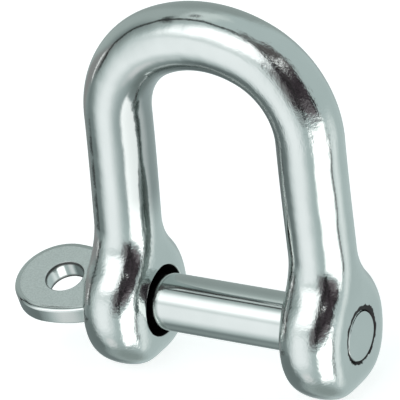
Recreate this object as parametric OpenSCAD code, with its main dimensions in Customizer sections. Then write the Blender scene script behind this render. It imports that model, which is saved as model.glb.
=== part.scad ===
// Chain joining shackle: a forged D-shaped bow closed by a screw pin with a flat eye tab.
// Millimetres. The origin is the middle of the pin's axis, X runs along the pin from its
// tab to its threaded end, and Z runs up to the crown.

/* [Bow] */
// Diameter of the round bar
bar_d = 11; // [8:0.5:14]
// Distance between the axes of the two legs at the shoulders
leg_spacing = 35; // [32:0.1:44]
// Height of the bar's centre line at the crown, above the pin's axis
crown_height = 48.9; // [42:0.1:70]
// Radius of the centre line at the shoulders, as a share of half the leg spacing
shoulder_share = 0.86; // [0.6:0.02:0.96]
// Radius of the centre line over the crown, as a share of half the leg spacing
crown_share = 1.19; // [1.05:0.01:1.6]

/* [Eyes] */
// Distance between the middles of the two eyes, with the legs splayed to meet them
eye_spacing = 36.3; // [33:0.1:46]
// Diameter of the round of an eye
eye_d = 22.6; // [20:0.2:28]
// Thickness of the forged skin of an eye at its middle
eye_thickness = 11.8; // [9:0.2:15]
// How squarely the skin of an eye turns from its faces to its rim, where 2 is an ellipse
eye_square = 4; // [2:0.2:6]
// Depth of the flat that is faced on the outside of an eye, as the seat of the tab
eye_facing = 0.4; // [0.2:0.1:0.8]
// Angle above the pin's axis at which a leg's flare leaves the round of its eye
neck_turn = 42; // [30:1:46]
// How far the chamfer on a bore's mouth reaches past the pin's room or thread
bore_chamfer = 0.4; // [0.1:0.1:0.6]

/* [Screw pin] */
// Diameter of the pin's shank, and the nominal size of its thread
pin_d = 9.5; // [8:0.5:12]
// Radial room around the shank in the plain eye
pin_clearance = 1.15; // [0.3:0.05:1.3]
// Pitch of the thread, which is a plain cylinder of its pitch diameter here
thread_pitch = 1.5; // [1:0.25:2]
// Radial room around that cylinder in the tapped eye
thread_clearance = 0.08; // [0.05:0.01:0.1]
// How far the thread runs out of the tapped eye on its inner side
thread_runout = 0.6; // [0:0.2:3]
// Chamfer on the threaded end
end_chamfer = 0.4; // [0.2:0.1:1]

/* [Tab] */
// Diameter of the tab's round end
tab_width = 15.5; // [13.5:0.1:18]
// Width of the tab at its root, on the plain eye's face
tab_root = 12.8; // [10:0.2:13.4]
// Thickness of the tab
tab_thickness = 3.4; // [2.5:0.1:6]
// Reach of the tab out from the plain eye's face
tab_reach = 16.1; // [14:0.1:20]
// Turn of the tab about the pin's axis, with its front edge down
tab_angle = 19; // [0:1:90]
// Chamfer around the tab's edges
tab_chamfer = 0.4; // [0.2:0.1:1]
// Length of the forged blend from the round shank into the tab
tab_blend = 2.4; // [1:0.2:4]
// Diameter of the hole in the tab
hole_d = 6.4; // [4:0.2:7]
// Metal between the hole and the tab's tip
hole_margin = 5.5; // [3:0.1:8]
// Chamfer on the mouths of the hole
hole_chamfer = 0.3; // [0.1:0.1:0.6]

/* [Hidden] */
$fn = 96;
steel = [0.72, 0.75, 0.74];
through = 1; // how far a cutter runs past the faces it cuts

bar_r = bar_d / 2;
leg_x = leg_spacing / 2;
shoulder_r = shoulder_share * leg_x;
crown_r = crown_share * leg_x;
crown_rise = crown_r - sqrt(pow(crown_r - shoulder_r, 2) - pow(leg_x - shoulder_r, 2));
leg_top = crown_height - crown_rise;
shoulder_turn = atan2(crown_r - crown_rise, leg_x - shoulder_r);

eye_r = eye_d / 2;
eye_x = eye_spacing / 2;
skin_half = eye_thickness / 2;
inner_face = eye_x - skin_half;
outer_face = eye_x + skin_half - eye_facing;
// Where a leg's flare leaves the round of its eye, and where it has run out into the leg
touch_y = eye_r * cos(neck_turn);
touch_z = eye_r * sin(neck_turn);
leg_start = touch_z + 2 * (touch_y - bar_r) / tan(neck_turn);

pin_r = pin_d / 2;
plain_bore_r = pin_r + pin_clearance;
thread_r = pin_r - 0.325 * thread_pitch;
tapped_bore_r = thread_r + thread_clearance;
thread_start = inner_face - thread_runout;
tab_tip = outer_face + tab_reach;
tab_r = tab_width / 2;
hole_x = tab_tip - hole_margin - hole_d / 2;

ring_points = 32;
end_cap_turn = 5;
eye_steps = 11;
neck_steps = 14;
crown_steps = 36;

// 0 to 1 with level ends
function eased(t) = let (u = min(max(t, 0), 1)) u * u * (3 - 2 * u);

// Half width across the bow's plane at a height on an eye, its flare or its leg
function half_width(z) =
    z < touch_z ? sqrt(eye_r * eye_r - z * z)
                : bar_r + (touch_y - bar_r) * pow(max(leg_start - z, 0) / (leg_start - touch_z), 2);

// Half thickness of an eye's skin at a distance from the pin's axis
function skin_at(r) = skin_half * sqrt(1 - pow(r / eye_r, eye_square));

// Half thickness in the bow's plane at a height, closing towards the foot of the eye
function half_thickness(z) =
    z < 0 ? skin_at(-z) : skin_half + (bar_r - skin_half) * eased(z / leg_start);

// How far a leg's middle lies from the bow's at a height
function leg_middle(z) = eye_x + (leg_x - eye_x) * max(z, 0) / leg_top;

// A section of the skin: its middle, the way out of the loop, two half sizes and a squareness
function leg_section(side, z) =
    [[side * leg_middle(z), 0, z], [side, 0, 0],
     half_thickness(z), half_width(z), eye_square + (2 - eye_square) * eased(z / leg_start)];

function crown_section(turn) =
    let (on_shoulder = turn < shoulder_turn || turn > 180 - shoulder_turn,
         side = turn < 90 ? 1 : -1,
         out = [cos(turn), 0, sin(turn)],
         middle = on_shoulder ? [side * (leg_x - shoulder_r), 0, leg_top] : [0, 0, crown_height - crown_r])
    [middle + out * (on_shoulder ? shoulder_r : crown_r), out, bar_r, bar_r, 2];

// The points of a section, around its middle
function ring(section) =
    [for (i = [0 : ring_points - 1])
        let (t = 360 * i / ring_points, s = sin(t))
        section[0] + section[1] * section[2] * sign(cos(t)) * sqrt(1 - pow(abs(s), section[4]))
                   + [0, 1, 0] * section[3] * s];

// Skins a row of rings and closes both ends
module loft(rings) {
    n = len(rings[0]);
    last = (len(rings) - 1) * n;
    polyhedron(
        points = [for (r = rings) each r],
        faces = concat(
            [[for (i = [n - 1 : -1 : 0]) i]],
            [for (k = [0 : len(rings) - 2], i = [0 : n - 1])
                let (j = (i + 1) % n) [k * n + i, k * n + j, (k + 1) * n + j, (k + 1) * n + i]],
            [[for (i = [0 : n - 1]) last + i]]
        )
    );
}

module bow_skin() {
    heights = concat(
        [for (i = [0 : eye_steps]) -eye_r * cos(end_cap_turn + (90 - end_cap_turn) * i / eye_steps)],
        [for (i = [1 : neck_steps]) leg_start * i / neck_steps]
    );
    loft(concat(
        [for (z = heights) ring(leg_section(-1, z))],
        [for (i = [0 : crown_steps]) ring(crown_section(180 - 180 * i / crown_steps))],
        [for (i = [len(heights) - 1 : -1 : 0]) ring(leg_section(1, heights[i]))]
    ));
}

// A cylinder along X between two stations
module along_x(x0, x1, r0, r1) translate([x0, 0, 0]) rotate([0, 90, 0]) cylinder(h = x1 - x0, r1 = r0, r2 = r1);

// Cuts a bore through one eye, with a mouth on each side that is chamfered out to a radius
module eye_bore(side, r, mouth_r) mirror([side < 0 ? 1 : 0, 0, 0]) {
    chamfer = mouth_r - r;
    inner_mouth = eye_x - skin_at(mouth_r);
    along_x(inner_face - through, outer_face + through, r, r);
    along_x(inner_mouth - through, inner_mouth + chamfer, mouth_r + through, r);
    along_x(outer_face - chamfer, outer_face + through, r, mouth_r + through);
}

module bow() {
    color(steel) difference() {
        bow_skin();
        for (side = [0, 1]) mirror([side, 0, 0]) along_x(outer_face, outer_face + eye_facing + through, eye_r, eye_r);
        eye_bore(-1, plain_bore_r, plain_bore_r + bore_chamfer);
        eye_bore(1, tapped_bore_r, pin_r + bore_chamfer);
    }
}

module pin_shaft() {
    rotate([0, 90, 0]) rotate_extrude() polygon([
        [0, -outer_face - tab_blend],
        [tab_thickness / 2, -outer_face - tab_blend],
        [pin_r, -outer_face],
        [pin_r, thread_start + thread_r - pin_r],
        [thread_r, thread_start],
        [thread_r, outer_face - end_chamfer],
        [thread_r - end_chamfer, outer_face],
        [0, outer_face]
    ]);
}

// The tab's outline moved in by an inset: a round end, and a neck that narrows to the root
module tab_outline(inset) difference() {
    hull() {
        translate([tab_r - tab_tip, 0]) circle(r = tab_r - inset);
        translate([-outer_face - through / 2, 0]) square([through, tab_root - 2 * inset], center = true);
    }
    translate([-outer_face, -tab_width]) square(2 * tab_width);
}

module tab() {
    rotate([tab_angle, 0, 0]) difference() {
        hull() {
            linear_extrude(height = tab_thickness - 2 * tab_chamfer, center = true) tab_outline(0);
            linear_extrude(height = tab_thickness, center = true) tab_outline(tab_chamfer);
        }
        translate([-hole_x, 0, 0]) {
            cylinder(h = tab_thickness + 2 * through, d = hole_d, center = true);
            for (end = [0, 1]) mirror([0, 0, end]) translate([0, 0, tab_thickness / 2 - hole_chamfer])
                cylinder(h = hole_chamfer + through, r1 = hole_d / 2, r2 = hole_d / 2 + hole_chamfer + through);
        }
    }
}

module screw_pin() {
    color(steel) union() {
        pin_shaft();
        tab();
    }
}

bow();
screw_pin();
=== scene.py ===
# %% [markdown]
# # A chain joining shackle in polished steel
#
# The real thing has two pieces. The bow is one forging: a round bar bent into a D, whose two
# ends swell into eyes. The screw pin is one turned and flattened piece: a shank, a thread and a
# tab with a hole. The packed CAD model is loaded first, as a fixed frame that says where each
# piece is, and finer meshes then stand in for its solids.

# %% Load the frame
import math

import bmesh
import bpy
import numpy as np
from mathutils import Matrix, Vector


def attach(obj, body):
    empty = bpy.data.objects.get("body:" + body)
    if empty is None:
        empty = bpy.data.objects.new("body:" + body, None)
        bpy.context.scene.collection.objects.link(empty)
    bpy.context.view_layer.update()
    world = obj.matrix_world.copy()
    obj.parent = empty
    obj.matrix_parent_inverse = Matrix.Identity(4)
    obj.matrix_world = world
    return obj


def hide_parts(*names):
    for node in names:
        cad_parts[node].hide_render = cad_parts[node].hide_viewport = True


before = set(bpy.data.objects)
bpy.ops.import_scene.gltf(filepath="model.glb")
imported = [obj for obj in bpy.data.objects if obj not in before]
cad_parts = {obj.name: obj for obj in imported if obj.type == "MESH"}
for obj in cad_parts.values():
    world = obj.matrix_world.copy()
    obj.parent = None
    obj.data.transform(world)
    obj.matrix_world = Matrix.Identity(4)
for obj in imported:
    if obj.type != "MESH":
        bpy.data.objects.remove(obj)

scene = bpy.context.scene
scene.view_settings.view_transform = "Standard"
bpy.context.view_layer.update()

# %% [markdown]
# ## Sizes
#
# Every length is in metres, in the frame of the CAD model: X along the pin, Z up to the crown.
# They are the solids' own sizes, so the meshes land on them with no fitting. Only the thread,
# the tab's bowed neck, the small gap at its root and the rolled edges go further.

# %% Sizes of the bow
MM = 0.001
bar_r = 5.5 * MM
leg_x = 17.5 * MM
crown_height = 48.9 * MM
shoulder_share, crown_share = 0.86, 1.19
shoulder_r = shoulder_share * leg_x
crown_r = crown_share * leg_x
crown_rise = crown_r - math.sqrt((crown_r - shoulder_r) ** 2 - (leg_x - shoulder_r) ** 2)
leg_top = crown_height - crown_rise
shoulder_turn = math.atan2(crown_r - crown_rise, leg_x - shoulder_r)

eye_x = 18.15 * MM
eye_r = 11.3 * MM
eye_half = 5.9 * MM
eye_square = 4.0
eye_facing = 0.4 * MM
outer_face = eye_x + eye_half - eye_facing
inner_face = eye_x - eye_half
neck_turn = math.radians(42)
touch_y, touch_z = eye_r * math.cos(neck_turn), eye_r * math.sin(neck_turn)
leg_start = touch_z + 2 * (touch_y - bar_r) / math.tan(neck_turn)
print("a leg runs from", round(leg_start / MM, 2), "to", round(leg_top / MM, 2), "mm")
print("its flare leaves the eye at", round(touch_z / MM, 2), "mm")

# %% Sizes of the pin
pin_r = 4.75 * MM
pin_clearance = 1.15 * MM
plain_bore_r = pin_r + pin_clearance
thread_clearance = 0.08 * MM
thread_r = pin_r - thread_clearance
thread_runout = 0.6 * MM
thread_start = inner_face - thread_runout
pitch = 1.5 * MM
end_chamfer = 0.4 * MM
shank_end = 0.62 * MM  # how far the round shank stands out of the plain eye
tab_half = 1.7 * MM
tab_r = 7.75 * MM
tab_reach = 16.1 * MM
tab_gap = 0.25 * MM  # between the tab's root and the eye
tab_blend = 2.4 * MM
tab_angle = math.radians(19)
neck_arc = 12.7 * MM  # half length of the oval that bows the tab's neck
hole_r = 3.2 * MM
hole_margin = 5.5 * MM
hole_out = tab_reach - hole_margin - hole_r
print("pin from", round(-(outer_face + tab_reach) / MM, 2), "to", round(outer_face / MM, 2), "mm along X")

# %% [markdown]
# ## Sums with sockets
#
# A node tree is easier to read as a formula than as a row of boxes. This small class wraps a
# socket, and each operator adds the Math node that does it, so that `1 - mask` works in shaders
# and in Geometry Nodes alike. Every other node comes from its one method `node`.

# %% The Wire class
def operator(operation):
    """A method that adds the Math node of an operation."""
    def method(self, *others):
        return self.math(operation, *others)
    return method


class Wire:
    """A socket of a node tree that can take part in sums."""

    def __init__(self, socket):
        self.socket = socket

    @staticmethod
    def node(tree, kind, settings=None, sockets=None, output=0):
        made = tree.nodes.new(kind)
        for name, value in (settings or {}).items():
            setattr(made, name, value)
        for key, value in (sockets or {}).items():
            if isinstance(value, Wire):
                tree.links.new(value.socket, made.inputs[key])
            else:
                made.inputs[key].default_value = value
        return Wire(made.outputs[output]) if len(made.outputs) else None

    def twin(self, output):
        """Another output of the same node."""
        return Wire(self.socket.node.outputs[output])

    def math(self, operation, *values):
        terms = dict(enumerate((self, *values)))
        return Wire.node(self.socket.id_data, "ShaderNodeMath", {"operation": operation}, terms)

    __add__ = __radd__ = operator("ADD")
    __sub__ = operator("SUBTRACT")
    __mul__ = __rmul__ = operator("MULTIPLY")
    __truediv__ = operator("DIVIDE")
    __pow__ = operator("POWER")
    __abs__ = operator("ABSOLUTE")
    __lt__ = operator("LESS_THAN")
    least = operator("MINIMUM")
    most = operator("MAXIMUM")

    def __rsub__(self, other):
        terms = {0: other, 1: self}
        return Wire.node(self.socket.id_data, "ShaderNodeMath", {"operation": "SUBTRACT"}, terms)

    def __neg__(self):
        return self * -1.0

    def clipped(self, low, high):
        return self.most(low).least(high)

    def eased(self):
        """0 to 1 with level ends."""
        share = self.clipped(0.0, 1.0)
        return share * share * (3.0 - 2.0 * share)

    def rising(self, start, width):
        """0 up to start, and 1 from a width past it."""
        return ((self - start) / width).eased()

    def falling(self, end, width):
        """1 up to a width before the end, and 0 from the end on."""
        return ((end - self) / width).eased()

    def blended_most(self, other, reach):
        """The greater of two, with a rounded corner where they come within the reach."""
        near = (reach - abs(self - other)).most(0.0) / reach
        return self.most(other) + near * near * reach * 0.25

    def blended_least(self, other, reach):
        """The lesser of two, rounded in the same way."""
        return -((-self).blended_most(-other, reach))


def choose(first, a, b):
    """a where first is 1, and b where it is 0."""
    return first * a + (1.0 - first) * b


print("the Wire class has", len([name for name in vars(Wire) if not name.startswith("__")]), "named methods")

# %% [markdown]
# ## From a tree to a plain mesh
#
# A Geometry Nodes tree has named inputs for its sizes. The modifier takes them by the socket's
# identifier, before the object is first evaluated. The result is then copied out as a plain
# mesh and the modifier goes, because a kept part should hold nothing live.

# %% Open and close a tree
def new_tree(name, inputs):
    tree = bpy.data.node_groups.new(name, "GeometryNodeTree")
    for label, value in inputs.items():
        kind = "NodeSocketInt" if isinstance(value, int) else "NodeSocketFloat"
        tree.interface.new_socket(name=label, in_out="INPUT", socket_type=kind)
    tree.interface.new_socket(name="Material", in_out="INPUT", socket_type="NodeSocketMaterial")
    tree.interface.new_socket(name="Mesh", in_out="OUTPUT", socket_type="NodeSocketGeometry")
    entry = tree.nodes.new("NodeGroupInput")
    return tree, {s.name: Wire(s) for s in entry.outputs if s.name}


def close_tree(tree, mesh, given):
    seam = 0.002 * MM
    merged = Wire.node(tree, "GeometryNodeMergeByDistance", sockets={"Geometry": mesh, "Distance": seam})
    smooth = Wire.node(tree, "GeometryNodeSetShadeSmooth", sockets={"Geometry": merged})
    real = Wire.node(tree, "GeometryNodeRealizeInstances", sockets={"Geometry": smooth})
    finish = {"Geometry": real, "Material": given["Material"]}
    done = Wire.node(tree, "GeometryNodeSetMaterial", sockets=finish)
    Wire.node(tree, "NodeGroupOutput", sockets={"Mesh": done})


def grid_of(tree, rows, columns):
    """A grid whose X, from -1 to 1, is how far along a vertex is, and whose Y gives its angle round."""
    size = {"Size X": 2.0, "Size Y": 1.0, "Vertices X": rows, "Vertices Y": columns}
    mesh = Wire.node(tree, "GeometryNodeMeshGrid", sockets=size, output="Mesh")
    place = Wire.node(tree, "GeometryNodeInputPosition")
    along = Wire.node(tree, "ShaderNodeSeparateXYZ", sockets={"Vector": place}, output="X")
    return mesh, along, (along.twin("Y") + 0.5) * (2 * math.pi)


def placed(tree, mesh, x, y, z):
    spot = Wire.node(tree, "ShaderNodeCombineXYZ", sockets={"X": x, "Y": y, "Z": z})
    return Wire.node(tree, "GeometryNodeSetPosition", sockets={"Geometry": mesh, "Position": spot})


print("tree helpers ready")

# %% Evaluate a tree
def plain_mesh(obj):
    """Replaces an object's mesh by its evaluated one and drops its modifiers."""
    graph = bpy.context.evaluated_depsgraph_get()
    mesh = bpy.data.meshes.new_from_object(obj.evaluated_get(graph), depsgraph=graph)
    obj.modifiers.clear()
    obj.data = mesh
    mesh.name = obj.name
    bm = bmesh.new()
    bm.from_mesh(mesh)
    bmesh.ops.remove_doubles(bm, verts=bm.verts, dist=0.0002 * MM)
    # A point that only two faces share would give both the same sliver when they become triangles
    bmesh.ops.dissolve_verts(bm, verts=[v for v in bm.verts if len(v.link_edges) == 2])
    bmesh.ops.recalc_face_normals(bm, faces=bm.faces)
    bm.to_mesh(mesh)
    bm.free()
    return obj


def from_tree(name, tree, values, material):
    obj = bpy.data.objects.new(name, bpy.data.meshes.new(name))
    scene.collection.objects.link(obj)
    modifier = obj.modifiers.new("shape", "NODES")
    modifier.node_group = tree
    sockets = [item for item in tree.interface.items_tree if item.item_type == "SOCKET"]
    ids = {socket.name: socket.identifier for socket in sockets if socket.in_out == "INPUT"}
    for label, value in values.items():
        modifier[ids[label]] = value
    modifier[ids["Material"]] = material
    return plain_mesh(obj)


print("mesh helpers ready")

# %% [markdown]
# ## Finish: polished steel
#
# Both pieces are stainless steel with a mirror polish over an uneven forging. The colour is
# almost all reflection, so the finish lives in small things: a pale green-grey tint, darkened by
# painted shade inside the bow, a roughness that changes in soft patches, and a bump that lets
# reflected edges waver. Grime mixed with painted shade darkens the bores and the thread, and the
# rim of the tab's hole is painted darker. A painted texture would need an image, so noise does it.
# All patterns read Object coordinates, and stay put when a piece moves.

# %% Helpers for materials
def principled(name):
    material = bpy.data.materials.new(name)
    material.use_nodes = True
    tree = material.node_tree
    tree.nodes.clear()
    return material, tree, Wire.node(tree, "ShaderNodeTexCoord", output="Object")


def noise(tree, spot, size, detail=2.0, roughness=0.5, stretch=None):
    """Noise from 0 to 1 with features of about the given size."""
    if stretch:
        spot = Wire.node(tree, "ShaderNodeMapping", sockets={"Vector": spot, "Scale": stretch})
    values = {"Vector": spot, "Scale": 1.0 / size, "Detail": detail, "Roughness": roughness}
    return Wire.node(tree, "ShaderNodeTexNoise", sockets=values, output=0)


def blend_colours(tree, share, a, b):
    """Mixes two colours, which are inputs 6 and 7 and output 2 of a Mix node."""
    return Wire.node(tree, "ShaderNodeMix", {"data_type": "RGBA"}, {0: share, 6: a, 7: b}, output=2)


def finish_steel(tree, colour, roughness, height, reach):
    bump = {"Strength": 1.0, "Distance": reach, "Height": height}
    normal = Wire.node(tree, "ShaderNodeBump", sockets=bump)
    shader = Wire.node(tree, "ShaderNodeBsdfPrincipled", sockets={
        "Base Color": colour, "Metallic": 1.0, "Roughness": roughness, "Normal": normal})
    Wire.node(tree, "ShaderNodeOutputMaterial", sockets={"Surface": shader})


def parts_of(tree, spot):
    """The X, Y and Z of a point, and how far it is from the pin's axis."""
    x = Wire.node(tree, "ShaderNodeSeparateXYZ", sockets={"Vector": spot}, output="X")
    y, z = x.twin("Y"), x.twin("Z")
    return x, y, z, (y * y + z * z).math("SQRT")


print("material helpers ready")

# %% [markdown]
# ## The bow's finish
#
# The forging shows where the polisher reached least: a fine relief on the eyes and on the right
# shoulder, with streaks along the bar. Painted shade darkens the colour inside the D, and the faced
# flats of the eyes are smooth. The streaks need a pattern that follows the bar, so one function
# gives each point its place on the bar as if it were straight.

# %% Bow finish
shaded_steel = (0.56, 0.60, 0.585, 1.0)
# Near black, for grime mixed with painted shade in the bores and thread, and for the darker rim of the tab's
# hole
grime_and_shade_colour = (0.035, 0.03, 0.03, 1.0)


def along_bar(tree, x, y, z):
    """A point's place on the bar as if it were pulled straight: how far out, across and along."""
    rise = (z - leg_top).most(0.0)
    length = z.least(leg_top) * (x / abs(x)) + rise.math("ARCTAN2", x) * leg_x
    out = (x * x + rise * rise).math("SQRT")
    return Wire.node(tree, "ShaderNodeCombineXYZ", sockets={"X": out, "Y": y, "Z": length})


def bow_finish():
    material, tree, spot = principled("bow_polish")
    x, y, z, r = parts_of(tree, spot)
    patches = noise(tree, spot, 9 * MM, detail=3.0)
    grain = noise(tree, spot, 0.5 * MM, detail=2.0, roughness=0.6)
    peel = noise(tree, spot, 0.9 * MM, detail=3.0, roughness=0.6)
    swell = noise(tree, spot, 4 * MM, detail=1.0)
    pulled = along_bar(tree, x, y, z)
    streaks = noise(tree, pulled, 0.5 * MM, detail=3.0, roughness=0.6, stretch=(1.0, 1.0, 0.09))

    # Painted shade: the colour is darkened inside the D, where the bar faces its other side
    bend = ((z - leg_top).most(0.0) / (crown_height - leg_top)) ** 2.0
    inside = ((x / leg_x) * (x / leg_x) + bend).falling(0.93, 0.4) * r.rising(13 * MM, 8 * MM)
    # Grime mixed with painted shade: the bore walls and a ragged ring at the tapped eye's mouth are painted
    # near black
    plain_edge = plain_bore_r + 0.07 * MM + 0.1 * MM * (peel - 0.5)
    tapped_edge = pin_r + 0.22 * MM + 1.1 * MM * (peel - 0.5) + 0.6 * MM * (swell - 0.5)
    grime_and_shade = r.falling(choose(x < 0.0, plain_edge, tapped_edge) + 0.06 * MM, 0.12 * MM)
    bright = blend_colours(tree, patches, shaded_steel, (0.66, 0.695, 0.68, 1.0))
    # Painted shade inside the D: a darker grey wherever the inside mask is 1
    inner_shaded = blend_colours(tree, inside, bright, (0.35, 0.375, 0.37, 1.0))
    colour = blend_colours(tree, grime_and_shade, inner_shaded, grime_and_shade_colour)
    rough = 0.05 + 0.05 * patches + 0.06 * grain + 0.4 * grime_and_shade

    shoulder = x.rising(5 * MM, 8 * MM) * z.rising(leg_top - 2 * MM, 4 * MM)
    faced = abs(x).rising(outer_face - 0.6 * MM, 0.4 * MM)
    forged = shoulder.most(r.falling(17 * MM, 6 * MM)) * (1.0 - 0.8 * faced)
    relief = swell + (0.08 + 0.55 * forged * patches) * peel + (0.08 + 0.12 * forged) * grain
    relief = relief + (0.05 + 0.3 * shoulder) * streaks
    finish_steel(tree, colour, rough, relief, 0.10 * MM)
    return material


bow_polish = bow_finish()
print(bow_polish.name, "has", len(bow_polish.node_tree.nodes), "nodes")

# %% [markdown]
# ## The pin's finish
#
# The shank is turned and polished, and the tab's two flats are left satin. A Mapping node turns
# the pattern with the tab and centres it on the hole, so that the satin ends where the edge
# rolls over and the darker ring follows the hole's rim.

# %% Pin finish
def pin_finish():
    material, tree, spot = principled("pin_polish")
    x, _, _, r = parts_of(tree, spot)
    flat = Wire.node(tree, "ShaderNodeMapping", sockets={
        "Vector": spot, "Location": (outer_face + hole_out, 0.0, 0.0), "Rotation": (-tab_angle, 0.0, 0.0)})
    out = Wire.node(tree, "ShaderNodeSeparateXYZ", sockets={"Vector": flat}, output="X")
    across, height = out.twin("Y"), abs(out.twin("Z"))
    from_hole = (out * out + across * across).math("SQRT")
    patches = noise(tree, spot, 6 * MM, detail=3.0)
    grain = noise(tree, spot, 0.28 * MM, detail=3.0, roughness=0.6)
    turned = noise(tree, spot, 0.25 * MM, detail=2.0, stretch=(1.0, 0.03, 0.03))

    on_tab = x.falling(-outer_face - 0.4 * MM, 0.4 * MM)
    satin = height.rising(tab_half - 0.014 * MM, 0.01 * MM) * on_tab
    # The rim of the tab's hole is painted darker, and the thread in the tapped eye gets grime mixed with
    # painted shade
    rim = hole_r + 0.16 * MM + 0.12 * MM * (grain - 0.5)
    dark_hole_rim = from_hole.falling(rim, 0.06 * MM) * height.rising(0.9 * MM, 0.5 * MM) * on_tab
    root = pin_r - 0.45 * MM - 0.3 * MM * (grain - 0.5)
    thread = r.rising(root, 0.12 * MM) * x.rising(inner_face, 0.5 * MM)
    grime_and_shade = thread.most(0.85 * dark_hole_rim)

    bright = blend_colours(tree, patches, shaded_steel, (0.65, 0.685, 0.67, 1.0))
    speckle = satin * ((grain - 0.35) * 3.0).clipped(0.0, 1.0)
    speckled = blend_colours(tree, speckle, bright, (0.74, 0.78, 0.765, 1.0))
    colour = blend_colours(tree, grime_and_shade, speckled, grime_and_shade_colour)
    rough = 0.06 + 0.05 * patches + 0.04 * turned + satin * (0.16 + 0.16 * grain) + 0.4 * grime_and_shade
    relief = 0.3 * patches + 0.03 * turned + satin * grain * 0.45
    finish_steel(tree, colour, rough, relief, 0.05 * MM)
    return material


pin_polish = pin_finish()
print(pin_polish.name, "has", len(pin_polish.node_tree.nodes), "nodes")

# %% [markdown]
# ## The bow
#
# The bow's skin follows one rule from foot to foot: a section that travels along the centre
# line, round on the bar, and wider and squarer on the eyes. A sculpted mesh or a bevelled curve
# would need its swelling set by hand. Here a plain grid is moved onto the rule by Geometry
# Nodes, so the polish gets an even, dense skin with no seam.

# %% Tree of the bow's skin
bow_sizes = {
    "Rows": 441, "Columns": 97, "Bar radius": bar_r, "Leg half spacing": leg_x, "Leg top": leg_top,
    "Shoulder radius": shoulder_r, "Shoulder turn": shoulder_turn, "Crown radius": crown_r,
    "Crown height": crown_height, "Eye half spacing": eye_x, "Eye radius": eye_r,
    "Eye half thickness": eye_half, "Eye squareness": eye_square, "Outer face": outer_face,
    "Touch height": touch_z, "Touch half width": touch_y, "Leg start": leg_start,
    "Facing blend": 0.25 * MM,
}


def bow_tree():
    tree, size = new_tree("bow_skin", bow_sizes)
    mesh, along, around = grid_of(tree, size["Rows"], size["Columns"])
    side = along.math("SIGN")

    # How far a row lies from the top of the crown, along the centre line and round the eye's foot
    crown_end = size["Crown radius"] * (math.pi / 2 - size["Shoulder turn"])
    shoulder_length = size["Shoulder radius"] * size["Shoulder turn"]
    shoulder_end = crown_end + shoulder_length
    leg_end = shoulder_end + size["Leg top"]
    away = abs(along) * (leg_end + size["Eye radius"] * (math.pi / 2))

    # The middle of the section: on the bend, and then down the leg
    on_crown, on_bend = away < crown_end, away < shoulder_end
    shoulder_lean = (away - crown_end).clipped(0.0, shoulder_length) / size["Shoulder radius"]
    lean = away.least(crown_end) / size["Crown radius"] + shoulder_lean
    radius = choose(on_crown, size["Crown radius"], size["Shoulder radius"])
    shoulder_out = size["Leg half spacing"] - size["Shoulder radius"]
    bend_x = (1.0 - on_crown) * shoulder_out + radius * lean.math("SINE")
    bend_base = choose(on_crown, size["Crown height"] - size["Crown radius"], size["Leg top"])
    bend_z = bend_base + radius * lean.math("COSINE")
    foot = ((away - leg_end).most(0.0) / size["Eye radius"]).math("SINE")
    z = size["Leg top"] - (away - shoulder_end).clipped(0.0, size["Leg top"]) - size["Eye radius"] * foot
    splay = (size["Leg half spacing"] - size["Eye half spacing"]) * (z / size["Leg top"]).eased()
    middle_x = choose(on_bend, bend_x, size["Eye half spacing"] + splay)
    middle_z = choose(on_bend, bend_z, z)

    # Its half thickness, half width and squareness
    up = (z / size["Leg start"]).eased()
    drop = ((-z).most(0.0) / size["Eye radius"]).least(1.0)
    below = size["Eye half thickness"] * (1.0 - drop ** size["Eye squareness"]).most(0.0).math("SQRT")
    above = size["Eye half thickness"] + (size["Bar radius"] - size["Eye half thickness"]) * up
    half_thickness = choose(z < 0.0, below, above)
    on_round = (size["Eye radius"] * size["Eye radius"] - z * z).most(0.0).math("SQRT")
    left = (size["Leg start"] - z).most(0.0) / (size["Leg start"] - size["Touch height"])
    flare = size["Bar radius"] + (size["Touch half width"] - size["Bar radius"]) * left * left
    half_width = choose(z < size["Touch height"], on_round, flare)
    squareness = size["Eye squareness"] + (2.0 - size["Eye squareness"]) * up

    across = around.math("SINE")
    facing_out = around.math("COSINE").math("SIGN")
    out = half_thickness * facing_out * (1.0 - abs(across) ** squareness).most(0.0).math("SQRT")
    x = (middle_x + out * lean.math("SINE")).blended_least(size["Outer face"], size["Facing blend"])
    skin = placed(tree, mesh, side * x, half_width * across, middle_z + out * lean.math("COSINE"))
    close_tree(tree, skin, size)
    return tree


bow = from_tree("shackle_bow", bow_tree(), bow_sizes, bow_polish)
print("bow skin:", len(bow.data.polygons), "faces,", [round(x / MM, 2) for x in bow.dimensions], "mm")

# %% [markdown]
# ## Turned bars: the reamer, the tap and the pin's shank
#
# A thread is a bar whose radius follows a wave along its length, and the wave slips by one
# pitch in each turn. The Screw modifier could sweep one, but couldn't fade it into a plain
# shank. A rule on a grid can, so one tree makes the reamer that cuts the plain eye, the tap that
# cuts the other one and the shank of the pin. A lip at each mouth lets the bore roll into the
# face.

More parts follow.
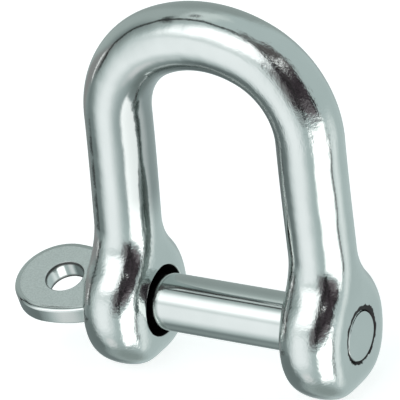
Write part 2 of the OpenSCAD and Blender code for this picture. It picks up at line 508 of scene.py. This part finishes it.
# %% Tree of a turned bar
def bar_tree():
    tree, size = new_tree("turned_bar", {
        "Rows": 1, "Columns": 1, "From": 0.0, "To": 0.0, "Radius": 0.0,
        "Mouth from": 0.0, "Mouth to": 0.0, "Lip": 0.0,
        "Thread radius": 0.0, "Thread from": 0.0, "Thread depth": 0.0, "Pitch": 0.0, "Run-out": 0.0,
        "End chamfer": 0.0, "End blend": 0.0})
    mesh, along, around = grid_of(tree, size["Rows"], size["Columns"])

    # The grid runs a little past both ends, where its last rows close them flat
    overrun, closing = 1.02, 1.009
    middle, half = (size["From"] + size["To"]) * 0.5, (size["To"] - size["From"]) * 0.5
    reach = along * overrun
    inside = abs(reach) < closing
    x = middle + half * reach.clipped(-1.0, 1.0)

    crest, flank = 0.125, 0.625
    wave = (x / size["Pitch"] - around / (2 * math.pi)).math("PINGPONG", 0.5) * 2.0
    groove = wave.rising(crest, flank)
    threaded = x.rising(size["Thread from"], size["Run-out"])
    outer = choose(threaded, size["Thread radius"], size["Radius"])
    radius = outer - size["Thread depth"] * groove * threaded

    depth = (x - size["Mouth from"]).least(size["Mouth to"] - x).clipped(0.0, size["Lip"])
    still = size["Lip"] - depth
    lip = size["Lip"] - (size["Lip"] * size["Lip"] - still * still).most(0.0).math("SQRT")
    cone = size["Thread radius"] + size["To"] - x - size["End chamfer"]
    radius = (radius + lip).blended_least(cone, size["End blend"]) * inside
    turned = placed(tree, mesh, x, radius * around.math("COSINE"), radius * around.math("SINE"))
    close_tree(tree, turned, size)
    return tree


turned_bar = bar_tree()
print("turned bar tree:", len(turned_bar.nodes), "nodes")

# %% Reamer and tap
past_face = 1.5 * MM
plain_fall, tapped_fall = 0.2 * MM, 0.12 * MM
no_thread, no_chamfer = 1.0, -9 * MM
reamer_sizes = {
    "Rows": 161, "Columns": 97, "From": -outer_face - past_face, "To": -inner_face + past_face,
    "Radius": plain_bore_r, "Mouth from": -outer_face, "Mouth to": -inner_face - plain_fall, "Lip": 0.4 * MM,
    "Thread radius": plain_bore_r, "Thread from": no_thread, "Thread depth": 0.0,
    "Pitch": pitch, "Run-out": MM, "End chamfer": no_chamfer, "End blend": 0.2 * MM,
}
tap_sizes = dict(reamer_sizes, **{
    "Rows": 201, "From": inner_face - past_face, "To": outer_face + past_face,
    "Radius": pin_r, "Mouth from": inner_face + tapped_fall, "Mouth to": outer_face,
    "Thread radius": pin_r, "Thread from": 0.0, "Thread depth": 0.8 * MM,
})
reamer = from_tree("reamer", turned_bar, reamer_sizes, bow_polish)
tap = from_tree("tap", turned_bar, tap_sizes, bow_polish)
print("reamer and tap:", len(reamer.data.polygons), len(tap.data.polygons), "faces")

# %% Cut the bow's two bores
crease = 35


def boolean(obj, operation, *others):
    for other in others:
        modifier = obj.modifiers.new(operation.lower(), "BOOLEAN")
        modifier.operation, modifier.solver, modifier.object = operation, "EXACT", other
        plain_mesh(obj)
        bpy.data.objects.remove(other)
    return obj


def crisp(obj, degrees):
    """Smooth shading with an edge wherever faces meet at more than the angle."""
    obj.data.shade_smooth()
    obj.data.set_sharp_from_angle(angle=math.radians(degrees))
    return obj


crisp(boolean(bow, "DIFFERENCE", reamer, tap), crease)
print("bow with its bores:", len(bow.data.polygons), "faces")

# %% [markdown]
# ## The screw pin
#
# The shank is the third turned bar. The tab is flattened from the same bar, so it has a rolled
# edge all round, a hole, and a forged shoulder where the round runs into the flat. An extruded
# outline with a Bevel modifier would leave the shoulder to be shaped by hand. Here closed loops
# run from the rim over the flat to the hole, and back under, which lets the rolled edge follow
# the outline, and a height rule lifts the loops near the root onto the round.

# %% Shank
shank_sizes = dict(reamer_sizes, **{
    "Rows": 481, "From": -outer_face - shank_end, "To": outer_face, "Radius": pin_r,
    "Mouth from": -1.0, "Mouth to": 1.0, "Lip": 0.0,
    "Thread radius": thread_r, "Thread from": thread_start, "Thread depth": 0.88 * MM, "Run-out": 1.2 * MM,
    "End chamfer": end_chamfer,
})
pin = from_tree("shackle_pin", turned_bar, shank_sizes, pin_polish)
print("shank:", len(pin.data.polygons), "faces")

# %% Outline of the tab
def tab_outline(inset):
    """The tab's edge, out from the eye's face, moved in by an inset: a round end on a bowed neck."""
    end_points, neck_points, root_points, most_root_inset = 97, 37, 61, 0.3 * MM
    r, middle, start = tab_r - inset, tab_reach - tab_r, tab_gap + min(inset, most_root_inset)
    turns = np.linspace(math.pi / 2, -math.pi / 2, end_points)
    end = [(middle + r * math.cos(turn), r * math.sin(turn)) for turn in turns]
    places = np.linspace(start, middle, neck_points)[:-1]
    neck = [(x, r * math.sqrt(1 - ((middle - x) / neck_arc) ** 2)) for x in places]
    root = [(start, neck[0][1] * share) for share in np.linspace(-1, 1, root_points)[:-1]]
    return np.array(root + neck + end[:-1] + [(x, -y) for x, y in [end[0]] + neck[:0:-1]])


def hole_loop(r, outline):
    """Points round the hole, each facing its point of the outline."""
    middle = np.array((hole_out, 0.0))
    way = outline - middle
    return middle + r * way / np.linalg.norm(way, axis=1)[:, None]


def shoulder_height(points, flat):
    """Lifts a flat height onto the round of the shank near the root."""
    reach, least_round = 1.2 * MM, 0.02 * MM
    past_shank = np.maximum(points[:, 0] - shank_end, 0.0)
    round_r = np.maximum(pin_r - (pin_r - tab_half) * past_shank / tab_blend, 0.0)
    round_h = np.sqrt(np.maximum(round_r ** 2 - points[:, 1] ** 2, 0.0))
    near = np.maximum(reach - np.abs(round_h - flat), 0.0) / reach
    lifted = np.maximum(round_h, flat) + near * near * reach / 4
    return np.where(round_h > least_round, lifted, flat)


print("the tab's outline has", len(tab_outline(0.0)), "points")

# %% Tab
def tab_loops():
    """The loops of the tab's upper half, from the middle of its rim to the middle of the hole's wall."""
    outline, top = tab_outline(0.0), tab_half
    level = np.ones(len(outline))
    edge_in, edge_drop, lip = 1.2 * MM, 0.5 * MM, 0.22 * MM
    rim_shares, wall_shares = (0.0, 0.35, 0.7, 0.92), (0.5, 0.0)
    edge_loops, flat_loops, lip_loops = 15, 33, 6
    loops = [(outline, level * share * (top - edge_drop)) for share in rim_shares]
    for turn in np.radians(np.linspace(0, 90, edge_loops)):
        rolled_in, dropped = edge_in * (1 - math.cos(turn)), edge_drop * (1 - math.sin(turn))
        loops.append((tab_outline(rolled_in), level * (top - dropped)))
    flat, mouth = loops[-1][0], hole_loop(hole_r + lip, outline)
    for share in np.linspace(0, 1, flat_loops)[1:]:
        points = flat + (mouth - flat) * share
        loops.append((points, shoulder_height(points, top)))
    for turn in np.radians(np.linspace(15, 90, lip_loops)):
        rolled_r, dropped = hole_r + lip * (1 - math.sin(turn)), lip * (1 - math.cos(turn))
        loops.append((hole_loop(rolled_r, outline), level * (top - dropped)))
    loops += [(hole_loop(hole_r, outline), level * top * share) for share in wall_shares]
    return [np.column_stack(loop) for loop in loops]


def tab_mesh():
    upper = tab_loops()
    under = [loop * (1, 1, -1) for loop in upper[-2:0:-1]]
    rings = upper + under
    count = len(rings[0])
    points = np.concatenate(rings)
    local = np.column_stack((-outer_face - points[:, 0], points[:, 1], points[:, 2]))
    local = local @ np.array(Matrix.Rotation(tab_angle, 3, "X")).T
    faces = []
    for k in range(len(rings)):
        a, b = k * count, (k + 1) % len(rings) * count
        for i in range(count):
            j = (i + 1) % count
            faces.append((a + i, a + j, b + j, b + i))
    mesh = bpy.data.meshes.new("tab")
    mesh.from_pydata(local.tolist(), [], faces)
    mesh.materials.append(pin_polish)
    return mesh


tab = bpy.data.objects.new("tab", tab_mesh())
scene.collection.objects.link(tab)
plain_mesh(tab)
print("tab:", len(tab.data.polygons), "faces")

# %% Join the tab to the shank
def flat_end(obj, x):
    """Keeps the end of a bar flat, with an edge all round where the thread runs out through it."""
    square, reach = 0.999, 0.02 * MM
    bm = bmesh.new()
    bm.from_mesh(obj.data)
    on_end = {}
    for face in bm.faces:
        off_end = abs(face.calc_center_median().x - x)
        on_end[face] = face.normal.x > square and off_end < reach
    for edge in bm.edges:
        if len({on_end[face] for face in edge.link_faces}) > 1:
            edge.smooth = False
    bm.to_mesh(obj.data)
    bm.free()


crisp(boolean(pin, "UNION", tab), crease)
flat_end(pin, outer_face)
print("pin with its tab:", len(pin.data.polygons), "faces,", [round(x / MM, 2) for x in pin.dimensions], "mm")

# %% [markdown]
# ## Hand the pieces to the frame
#
# Each mesh stands for the CAD solid of the same piece and rides on its body, so the pin slides
# out as the CAD model says.

# %% Ride and replace
for piece, node, slot in ((bow, "bow", "bow_steel"), (pin, "screw_pin", "pin_steel")):
    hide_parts(node)
    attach(piece, node)
    print(piece.name, "stands for", node)

# %% [markdown]
# ## Camera
#
# The photograph looks down on the shackle from its front right with a long lens and a small
# roll. The camera stands where the picture was taken from: back along the line of sight, and
# then moved sideways in its own plane until the origin falls on its pixel.

# %% Camera
picture_size = 400
origin_pixel = (231.845, 312.055)
azimuth, elevation, roll = math.radians(31.75), math.radians(25.86), math.radians(5.87)
distance, pixels_per_metre = 0.7793, 6187.0
back = Vector((
    math.sin(azimuth) * math.cos(elevation),
    -math.cos(azimuth) * math.cos(elevation),
    math.sin(elevation),
))
level = Vector((math.cos(azimuth), math.sin(azimuth), 0.0))
upright = back.cross(level)
right = math.cos(roll) * level - math.sin(roll) * upright
up = math.sin(roll) * level + math.cos(roll) * upright
aside, under = [(pixel - picture_size / 2) / pixels_per_metre for pixel in origin_pixel]
stand = back * distance - right * aside + up * under

camera = bpy.data.objects.new("camera", bpy.data.cameras.new("camera"))
scene.collection.objects.link(camera)
scene.camera = camera
camera.matrix_world = Matrix.Translation(stand) @ Matrix((right, up, back)).transposed().to_4x4()
camera.data.sensor_width = 36.0
camera.data.lens = pixels_per_metre * distance / picture_size * camera.data.sensor_width
camera.data.clip_start, camera.data.clip_end = 0.05, 20.0
print("lens", round(camera.data.lens, 1), "mm at", [round(x, 3) for x in stand])

# %% [markdown]
# ## Stage
#
# Polished steel is a picture of its room, so the room matters more than the lamps. A dark camera
# stands to the front right, one soft box glows above the front and one at the lower right, and
# walls, a table and a few dark edges fill in the rest. Planes could stand all round for them,
# but a painted world is easier to shift by a degree. So the room is drawn in the world as
# soft-edged windows by direction: azimuth 0 is the front of the shackle and 90 its threaded end,
# and a later window covers an earlier one. The camera itself sees plain white. The floor takes
# the shadow and is left out of the mirror, which shows the room all round.

# %% The room
base_light = (0.595, 0.69, 0.69)
edge_dark = (0.03, 0.03, 0.03)
straight = (0.0, 0.0)
room = [
    # name, middle, half size, slope and curve of the middle line, soft edges, light or two lights to mottle
    ("left wall", (-105, 22), (48, 46), straight, (30, 30), (0.47, 0.54, 0.53)),
    ("left top", (-112, 66), (40, 9), straight, (30, 12), (0.82, 0.90, 0.89)),
    ("right wall", (113, -30), (11, 26), straight, (34, 24), (1.12, 1.18, 1.18)),
    ("under floor", (0, -84), (180, 18), straight, (1, 30), (0.34, 0.40, 0.39)),
    ("backdrop", (-152, 12), (22, 34), straight, (18, 20), (0.38, 0.44, 0.43)),
    ("left table", (-98, -42), (46, 22), straight, (30, 20), (0.20, 0.24, 0.24)),
    ("left corner", (-80, 4), (10, 32), straight, (36, 22), (0.21, 0.255, 0.255)),
    ("left clutter", (-98, -8), (24, 9), (0.5, 0.0), (14, 10), (0.33, 0.33, 0.33)),
    ("front floor", (-20, -56), (18, 7), straight, (26, 14), (1.0, 1.01, 1.02)),
    ("front wall", (-21, -12), (26, 30), straight, (40, 30), (1.23, 1.26, 1.28)),
    ("front shelf", (-16, 15), (30, 2), straight, (20, 10), (0.88, 0.95, 0.95)),
    ("left beam", (-78, 46), (14, 3), (-0.2, 0.0), (12, 6), (0.04, 0.045, 0.045)),
    ("left line", (-97, 62), (12, 1.5), straight, (10, 3), (0.02, 0.02, 0.02)),
    ("left gleam", (-85, -4), (1.5, 7), straight, (3, 6), (1.4, 1.4, 1.4)),
    ("ceiling", (22, 77), (22, 8), straight, (16, 8), (0.19, 0.20, 0.20)),
    ("camera haze", (21, 13), (11, 18), straight, (20, 18), (0.22, 0.21, 0.215)),
    ("above camera", (60, 56), (34, 16), straight, (10, 8), (0.13, 0.12, 0.12)),
    ("camera", (55, 23), (30, 20), (0.05, -0.15), (6, 5), ((0.005, 0.003, 0.005), (0.14, 0.115, 0.13))),
    ("gap", (48, 46), (6, 4), (-0.7, 0.0), (4, 4), (1.7, 1.7, 1.7)),
    ("second gap", (66, 50), (7, 3), (0.3, 0.0), (5, 4), (1.3, 1.3, 1.3)),
    ("camera stand", (60, 7), (16, 6), (0.1, 0.0), (14, 8), ((0.10, 0.08, 0.09), (0.50, 0.46, 0.48))),
    ("soft box side", (12, 47), (12, 10), straight, (18, 12), (0.9, 0.9, 0.9)),
    ("soft box up", (-14, 42), (32, 18), (0.16, 0.0), (26, 19), (1.8, 1.8, 1.82)),
    ("soft box low", (63, -30), (26, 25), (0.24, 0.0), (12, 10), (2.2, 2.2, 2.2)),
    ("right dark edge", (96, -26), (2.5, 14), straight, (6, 8), (0.14, 0.13, 0.13)),
    ("left dark edge", (-97, -26), (14, 0.9), (0.1, 0.0), (8, 1.4), edge_dark),
]
print("windows in the room:", [name for name, *_ in room])

# %% World
def within(offset, half, soft):
    """1 where an angle's offset is under a half size, with a soft edge. Both sizes are in degrees."""
    return abs(offset).falling(math.radians(half + soft / 2), math.radians(soft))


def window(azimuth, elevation, middle, half, bend, soft):
    """1 inside a patch of directions."""
    across = (azimuth - math.radians(middle[0])).math("WRAP", math.pi, -math.pi)
    over = elevation - math.radians(middle[1]) - across * bend[0] - across * across * bend[1]
    return within(across, half[0], soft[0]) * within(over, half[1], soft[1])


def arch(tree, way, middle, radius, half, soft):
    """1 on a thin ring of directions around a middle one."""
    turn, rise = math.radians(middle[0]), math.radians(middle[1])
    axis = (math.sin(turn) * math.cos(rise), -math.cos(turn) * math.cos(rise), math.sin(rise))
    product = {"operation": "DOT_PRODUCT"}
    dot = Wire.node(tree, "ShaderNodeVectorMath", product, {0: way, 1: axis}, output="Value")
    return within(dot.math("ARCCOSINE") - math.radians(radius), half, soft)


def paint_room(tree, way):
    x = Wire.node(tree, "ShaderNodeSeparateXYZ", sockets={"Vector": way}, output="X")
    azimuth = x.math("ARCTAN2", -x.twin("Y"))
    elevation = x.twin("Z").clipped(-1.0, 1.0).math("ARCSINE")
    mottle = noise(tree, way, 0.09, detail=3.0, roughness=0.65)
    clutter = ((mottle - 0.5) * 3.5 + 0.4).clipped(0.0, 1.0)
    light = (*base_light, 1.0)
    for name, middle, half, bend, soft, glow in room:
        if isinstance(glow[0], tuple):
            glow = blend_colours(tree, clutter, (*glow[0], 1.0), (*glow[1], 1.0))
        else:
            glow = (*glow, 1.0)
        light = blend_colours(tree, window(azimuth, elevation, middle, half, bend, soft), light, glow)
    above_table = elevation.rising(math.radians(-12), math.radians(8))
    box_rim = arch(tree, way, middle=(-20, 15), radius=56.5, half=2.6, soft=2.4) * above_table
    return blend_colours(tree, box_rim, light, (*edge_dark, 1.0))


def studio_world():
    world = bpy.data.worlds.new("studio")
    world.use_nodes = True
    tree = world.node_tree
    tree.nodes.clear()
    mirrored = paint_room(tree, Wire.node(tree, "ShaderNodeTexCoord", output="Generated"))
    seen = Wire.node(tree, "ShaderNodeLightPath", output="Is Camera Ray")
    shown = blend_colours(tree, seen, mirrored, (1.0, 1.0, 1.0, 1.0))
    sky = Wire.node(tree, "ShaderNodeBackground", sockets={"Color": shown})
    Wire.node(tree, "ShaderNodeOutputWorld", sockets={"Surface": sky})
    return world


scene.world = studio_world()
print("world:", len(scene.world.node_tree.nodes), "nodes")

# %% Floor
def floor_material():
    material, tree, spot = principled("floor_white")
    paper_glow = 0.62
    soft = noise(tree, spot, 0.2, detail=1.0)
    shade = blend_colours(tree, soft, (0.80, 0.80, 0.80, 1), (0.83, 0.83, 0.83, 1))
    paper = Wire.node(tree, "ShaderNodeBsdfDiffuse", sockets={"Color": shade})
    seen = Wire.node(tree, "ShaderNodeLightPath", output="Is Camera Ray")
    looked_at = (seen + seen.twin("Is Glossy Ray") + seen.twin("Is Transmission Ray")).least(1.0)
    glow = Wire.node(tree, "ShaderNodeEmission", sockets={"Strength": paper_glow * looked_at})
    both = Wire.node(tree, "ShaderNodeAddShader", sockets={0: paper, 1: glow})
    Wire.node(tree, "ShaderNodeOutputMaterial", sockets={"Surface": both})
    return material


floor_half = 3.0
floor_z = -eye_r - 0.01 * MM
corners = [(floor_half * x, floor_half * y, floor_z) for x, y in ((-1, -1), (1, -1), (1, 1), (-1, 1))]
floor_mesh = bpy.data.meshes.new("floor")
floor_mesh.from_pydata(corners, [], [(0, 1, 2, 3)])
floor_mesh.materials.append(floor_material())
floor = bpy.data.objects.new("floor", floor_mesh)
scene.collection.objects.link(floor)
floor.visible_glossy = False
print("floor at", round(floor_z / MM, 2), "mm")

# %% [markdown]
# The meshes must not outgrow the solids.
